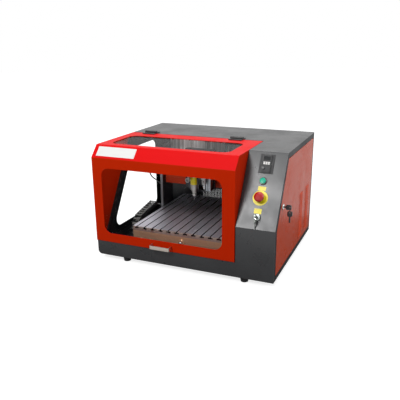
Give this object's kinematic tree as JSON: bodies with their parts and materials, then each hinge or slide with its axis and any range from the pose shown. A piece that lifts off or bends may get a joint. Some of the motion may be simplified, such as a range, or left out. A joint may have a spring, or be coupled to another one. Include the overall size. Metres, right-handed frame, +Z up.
{
  "type": "circuit board cutting machine",
  "caption": "Desktop machine that mills and drills circuit boards: cabinet with lifting window hood, sloping control panel, slotted table and moving gantry with spindle.",
  "frame": {"origin": "middle of the machine's box, on the surface that its feet stand on", "axes": "+X to the operator's right, +Y from the front to the back, +Z up"},
  "size_m": [0.8386, 0.688, 0.5225],
  "materials": {
    "body_grey": "textured dark grey powder coat",
    "hood_red": "glossy red powder coat",
    "service_red": "glossy red paint",
    "clear_pane": "clear polycarbonate",
    "foot_rubber": "matt black rubber",
    "table_alloy": "extruded and anodised aluminium",
    "plate_alloy": "milled aluminium",
    "back_alloy": "brushed aluminium sheet",
    "bright_steel": "ground and polished steel",
    "motor_black": "black lacquer",
    "gantry_grey": "satin dark grey paint",
    "beam_red": "satin red paint",
    "chain_black": "moulded black nylon",
    "box_black": "moulded black plastic",
    "cable_black": "black cable sheath",
    "drive_grey": "moulded grey plastic",
    "control_black": "black plastic",
    "start_green": "green plastic",
    "stop_yellow": "yellow plastic",
    "stop_red": "red plastic",
    "control_chrome": "chromium plate",
    "key_metal": "nickel plate",
    "key_black": "black plastic head on a steel blade",
    "socket_black": "moulded black plastic",
    "supply_metal": "perforated sheet case",
    "board_green": "circuit board with components",
    "hinge_black": "black coated steel",
    "handle_steel": "brushed steel",
    "carriage_dark": "black anodised plate",
    "spindle_steel": "turned steel",
    "white_plastic": "white plastic",
    "carbide": "ground carbide"
  },
  "bodies": {
    "root": {"floor_pan": "body_grey", "front_fascia": "body_grey", "roof": "body_grey", "left_wall": "body_grey", "left_window_pane": "clear_pane", "right_wall": "body_grey", "rear_wall": "body_grey", "divider_wall": "body_grey", "feet": "foot_rubber", "bed_end_plates": "plate_alloy", "table_slats": "table_alloy", "y_guide_rods": "bright_steel", "y_motor": "motor_black", "drag_chain": "chain_black", "drive_unit": "drive_grey", "start_bezel": "control_black", "stop_disc": "stop_yellow", "switch_barrel": "control_chrome", "rear_sockets": "socket_black", "power_supply": "supply_metal", "controller_board": "board_green", "hinge_fixed_leaves": "hinge_black"},
    "hood": {"hood_shell": "hood_red", "hood_sides": "hood_red", "hood_panes": "clear_pane", "hood_handle": "handle_steel", "hinge_moving_leaves": "hinge_black"},
    "y_screw": {"y_screw": "bright_steel"},
    "gantry": {"gantry_side_plates": "gantry_grey", "y_carriage": "plate_alloy", "cross_beam": "beam_red", "beam_back_plate": "back_alloy", "gantry_box": "box_black", "gantry_cables": "cable_black", "x_guide_rods": "bright_steel", "x_motor": "motor_black"},
    "x_screw": {"x_screw": "bright_steel"},
    "x_slide": {"x_carriage": "carriage_dark", "z_end_plates": "carriage_dark", "z_guide_rods": "bright_steel", "z_motor": "motor_black", "limit_housing": "plate_alloy"},
    "z_screw": {"z_screw": "bright_steel"},
    "z_slide": {"z_slide_block": "plate_alloy", "spindle_clamp": "plate_alloy", "spindle_body": "spindle_steel", "work_lamp": "white_plastic", "sensor_block": "white_plastic"},
    "spindle": {"collet_nut": "bright_steel", "cutter": "carbide"},
    "speed_knob": {"drive_knob": "control_black"},
    "start_button": {"start_button": "start_green"},
    "stop_plunger": {"stop_stem": "control_black"},
    "stop_mushroom": {"stop_head": "stop_red"},
    "switch_key": {"switch_key": "key_metal"},
    "switch_spare": {"switch_spare_key": "key_metal"},
    "service_panel": {"service_panel": "service_red", "lock_barrel": "control_chrome"},
    "lock": {"lock_key": "key_black"},
    "lock_spare": {"lock_spare_key": "key_black"}
  },
  "joints": [
    {"name": "hood_lift", "type": "hinge", "parent": "root", "child": "hood", "pos_m": [-0.01925, 0.043, 0.5165], "axis": [-1, 0, 0], "range_deg": [0, 105]},
    {"name": "service_swing", "type": "hinge", "parent": "root", "child": "service_panel", "pos_m": [0.37675, 0.327, 0.265], "axis": [0, 0, 1], "range_deg": [0, 110]},
    {"name": "lock_turn", "type": "hinge", "parent": "service_panel", "child": "lock", "pos_m": [0.38075, -0.207, 0.308], "axis": [-1, 0, 0], "range_deg": [0, 90]},
    {"name": "lock_spare_swing", "type": "hinge", "parent": "lock", "child": "lock_spare", "pos_m": [0.40925, -0.207, 0.308], "axis": [0, -1, 0], "range_deg": [-15, 60]},
    {"name": "switch_turn", "type": "hinge", "parent": "root", "child": "switch_key", "pos_m": [0.30075, -0.28524, 0.2797], "axis": [0, -0.8688, 0.4951], "range_deg": [0, 90]},
    {"name": "switch_spare_swing", "type": "hinge", "parent": "switch_key", "child": "switch_spare", "pos_m": [0.30075, -0.30913, 0.29332], "axis": [-1, 0, 0], "range_deg": [0, 40]},
    {"name": "start_push", "type": "slide", "parent": "root", "child": "start_button", "axis": [0, 0.8688, -0.4951], "range_m": [0, 0.0028], "stiffness_N_per_m": 900, "springref_m": -0.0008},
    {"name": "stop_push", "type": "slide", "parent": "root", "child": "stop_plunger", "axis": [0, 0.8688, -0.4951], "range_m": [0, 0.004], "stiffness_N_per_m": 1500, "springref_m": -0.0008},
    {"name": "stop_twist", "type": "hinge", "parent": "stop_plunger", "child": "stop_mushroom", "pos_m": [0.30075, -0.24761, 0.34574], "axis": [0, -0.8688, 0.4951], "range_deg": [0, 40], "stiffness_Nm_per_rad": 0.05, "springref_deg": -5.73},
    {"name": "speed_turn", "type": "hinge", "parent": "root", "child": "speed_knob", "pos_m": [0.29425, -0.18869, 0.44913], "axis": [0, -0.8688, 0.4951], "range_deg": [-135, 135]},
    {"name": "gantry_y", "type": "slide", "parent": "root", "child": "gantry", "axis": [0, 1, 0], "range_m": [-0.2, 0.1], "deforming": ["drag_chain"]},
    {"name": "y_screw_turn", "type": "hinge", "parent": "root", "child": "y_screw", "pos_m": [-0.04425, -0.009, 0.105], "axis": [0, 1, 0], "continuous": true},
    {"name": "head_x", "type": "slide", "parent": "gantry", "child": "x_slide", "axis": [1, 0, 0], "range_m": [-0.12, 0.18]},
    {"name": "x_screw_turn", "type": "hinge", "parent": "gantry", "child": "x_screw", "pos_m": [-0.04425, 0.071, 0.375], "axis": [1, 0, 0], "continuous": true},
    {"name": "head_z", "type": "slide", "parent": "x_slide", "child": "z_slide", "axis": [0, 0, 1], "range_m": [-0.075, 0.01]},
    {"name": "z_screw_turn", "type": "hinge", "parent": "x_slide", "child": "z_screw", "pos_m": [-0.07625, 0.021, 0.325], "axis": [0, 0, 1], "continuous": true},
    {"name": "spindle_turn", "type": "hinge", "parent": "z_slide", "child": "spindle", "pos_m": [-0.07625, -0.021, 0.255], "axis": [0, 0, 1], "continuous": true}
  ],
  "couplings": [
    {"joint": "y_screw_turn", "follows": "gantry_y", "rad_per_m": 1256.6},
    {"joint": "x_screw_turn", "follows": "head_x", "rad_per_m": 1256.6},
    {"joint": "z_screw_turn", "follows": "head_z", "rad_per_m": 1256.6}
  ]
}
